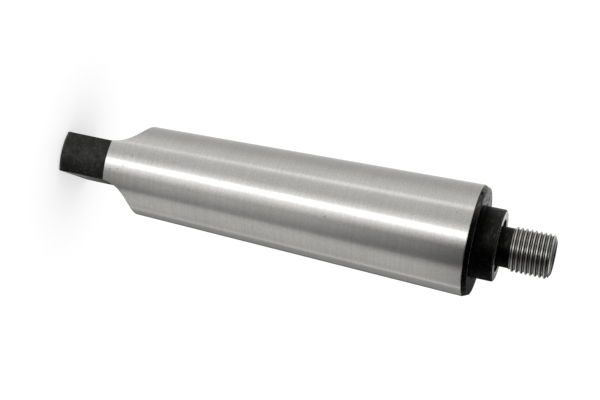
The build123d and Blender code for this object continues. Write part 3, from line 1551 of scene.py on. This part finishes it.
@dataclass(frozen=True)
class NearCard:
    """A curved card close to the bar, denser to one end, so that a band changes along the bar.

    Azimuths are counted as the tent's are. The card covers nothing at one height, and its full share
    from another on to a third, where it ends. These may run up or down, and are in millimetres. It
    fades out over its feather at each side.
    """

    name: str
    start_deg: float
    end_deg: float
    feather_deg: float
    none_at: float
    full_from: float
    ends_at: float
    glow: float
    cover: float
    radius: float = 60.0
    steps: int = 48

    def build(self, facing_deg: float) -> None:
        """Makes the card as part of a cylinder round the bar.

        Its cover is its share times its nearness to either side over the feather, times a smooth
        step of its height: three times the square of the way up less twice the cube.

        Args:
            facing_deg: the azimuth of the side that faces the camera, from +X.
        """
        across = np.linspace(self.start_deg, self.end_deg, self.steps)
        azimuth, height = np.meshgrid(across, np.linspace(self.none_at, self.ends_at, self.steps))
        side = np.minimum(azimuth - self.start_deg, self.end_deg - azimuth) / self.feather_deg
        rise = np.clip((height - self.none_at) / (self.full_from - self.none_at), 0, 1)
        cover = self.cover * np.clip(side, 0, 1) * rise**2 * (3 - 2 * rise)
        turn = np.radians(azimuth + facing_deg)
        points = np.stack([self.radius * np.cos(turn), self.radius * np.sin(turn), height], -1) * MM
        number = np.arange(self.steps**2).reshape(self.steps, self.steps)
        cells = np.stack([number[:-1, :-1], number[:-1, 1:], number[1:, 1:], number[1:, :-1]], -1)
        mesh = bpy.data.meshes.new(self.name)
        mesh.from_pydata(points.reshape(-1, 3).tolist(), [], cells.reshape(-1, 4).tolist())
        for name, values in (("glow", np.full(cover.shape, self.glow)), ("cover", cover)):
            layer = mesh.attributes.new(name, "FLOAT", "POINT")
            layer.data.foreach_set("value", values.ravel().astype(np.float32))
        card = bpy.data.objects.new(self.name, mesh)
        show_in_steel_only(card, glowing_card(see_through=True))


def glowing_card(see_through: bool = False) -> bpy.types.Material:
    """Makes the material of a card that glows by its mesh's own values, and isn't sampled as a lamp.

    Args:
        see_through: whether the card lets through what its cover leaves.

    Returns:
        The material.
    """
    material = bpy.data.materials.new("glowing_card")
    material.use_nodes = True
    material.cycles.emission_sampling = "NONE"
    tree = material.node_tree
    tree.nodes.clear()
    strength = add_node(tree, "ShaderNodeAttribute", output="Fac", attribute_name="glow")
    surface = add_node(tree, "ShaderNodeEmission", {"Strength": strength})
    if see_through:
        cover = add_node(tree, "ShaderNodeAttribute", output="Fac", attribute_name="cover")
        clear = add_node(tree, "ShaderNodeBsdfTransparent")
        surface = add_node(tree, "ShaderNodeMixShader", {0: cover, 1: clear, 2: surface})
    add_node(tree, "ShaderNodeOutputMaterial", {"Surface": surface})
    return material


def show_in_steel_only(card: bpy.types.Object, material: bpy.types.Material) -> None:
    """Stands a card in the studio so that only mirror reflections see it.

    Args:
        card: the card's object.
        material: its material.
    """
    card.data.materials.append(material)
    bpy.context.scene.collection.objects.link(card)
    card.visible_camera = False
    card.visible_diffuse = False
    card.visible_shadow = False
    card.visible_transmission = False
    card.visible_volume_scatter = False


@dataclass(frozen=True)
class Studio:
    """The pale floor, the even room light, and the cards that the bright steel reflects."""

    floor_size: float = 14.0
    floor_colour: str = "#c4c4c4"
    floor_roughness: float = 0.9
    floor_glow: float = 0.48
    room_light: float = 1.05
    white: str = "#ffffff"
    tent: LightTent = LightTent()
    cards: tuple[NearCard, ...] = (
        # Name, azimuths from and to, feather, heights of none, full and the end, glow, cover
        NearCard("dark_flag", 2, 66, 18, 30, 165, 300, 0.06, 0.98),
        NearCard("grey_flag", -75, 30, 20, 95, 180, 300, 0.30, 0.50),
        NearCard("soft_strip", -65, -50, 6, -80, 110, 300, 2.00, 0.50),
        NearCard("tang_flag", 4, 96, 16, -90, -60, -14, 0.00, 1.00),
        NearCard("back_strip", 140, 179, 5, -12, -28, -40, 1.10, 1.00),
        NearCard("collar_flag", 0, 110, 14, 116, 118, 124, 0.00, 1.00),
        NearCard("thread_flag", -5, 104, 24, 123, 125, 150, 0.00, 0.93),
        NearCard("tip_strip", 132, 172, 12, 165, 185, 260, 1.20, 0.90),
    )

    def build(self) -> None:
        """Makes the floor, the room and the cards."""
        bpy.context.scene.view_settings.view_transform = "Standard"
        self.floor()
        self.room()
        self.tent.build()
        for card in self.cards:
            card.build(self.tent.facing_deg)
        log.info("studio: floor, room, light tent and %d near cards", len(self.cards))

    def floor(self) -> None:
        """Lays the floor: a pale matt sheet lit evenly from below, which mirror reflections miss."""
        mesh = bpy.data.meshes.new("floor")
        half = self.floor_size / 2
        corners = [(-half, -half, 0), (half, -half, 0), (half, half, 0), (-half, half, 0)]
        mesh.from_pydata(corners, [], [(0, 1, 2, 3)])
        floor = bpy.data.objects.new("floor", mesh)
        bpy.context.scene.collection.objects.link(floor)
        material = bpy.data.materials.new("pale_floor")
        material.use_nodes = True
        sheet = {
            "Base Color": linear(self.floor_colour),
            "Roughness": self.floor_roughness,
            "Emission Color": linear(self.white),
            "Emission Strength": self.floor_glow,
        }
        for name, value in sheet.items():
            material.node_tree.nodes["Principled BSDF"].inputs[name].default_value = value
        mesh.materials.append(material)
        floor.visible_glossy = False

    def room(self) -> None:
        """Fills the room with even white light."""
        world = bpy.data.worlds.new("pale_room")
        world.use_nodes = True
        background = world.node_tree.nodes["Background"]
        background.inputs["Color"].default_value = linear(self.white)
        background.inputs["Strength"].default_value = self.room_light
        bpy.context.scene.world = world


@dataclass(frozen=True)
class PhotoCamera:
    """The camera at the photograph's place, with the arbor's axis lying across the picture."""

    place_mm: tuple[float, float, float] = (22.81, -358.52, 167.99)
    heading_deg: float = -3.79
    tilt_deg: float = -15.18
    roll_deg: float = 101.98
    lens_mm: float = 78.09
    sensor_mm: float = 36.0

    def build(self) -> bpy.types.Object:
        """Makes the camera.

        Its view points along +Y turned to the heading and tilted, and its right side is the level
        right side turned about the view by the roll.

        Returns:
            The camera object, set as the scene's camera.
        """
        heading, tilt, roll = map(math.radians, (self.heading_deg, self.tilt_deg, self.roll_deg))
        along = math.cos(tilt)
        view = Vector((math.sin(heading) * along, math.cos(heading) * along, math.sin(tilt)))
        level = Vector((math.cos(heading), -math.sin(heading), 0.0))
        upright = level.cross(view)
        right = math.cos(roll) * level + math.sin(roll) * upright
        up = right.cross(view)
        data = bpy.data.cameras.new("photo_camera")
        data.lens = self.lens_mm
        data.sensor_width = self.sensor_mm
        camera = bpy.data.objects.new("photo_camera", data)
        turn = Matrix((right, up, -view)).transposed()
        camera.matrix_world = Matrix.Translation(Vector(self.place_mm) * MM) @ turn.to_4x4()
        bpy.context.scene.collection.objects.link(camera)
        bpy.context.scene.camera = camera
        return camera


def main() -> None:
    """Builds the arbor's skin, its finishes, the studio and the camera."""
    logging.basicConfig(level=logging.INFO, format="%(name)s: %(message)s")
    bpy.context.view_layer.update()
    arbor = Arbor().build()
    for finish in (BlackOxide(), GroundSteel(), CutSteel(), FacedSteel()):
        arbor.data.materials.append(finish.build())
    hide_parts(NODE)
    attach(arbor, BODY)
    log.info("%s: %d faces", arbor.name, len(arbor.data.polygons))
    Studio().build()
    PhotoCamera().build()


if __name__ == "__main__":
    main()
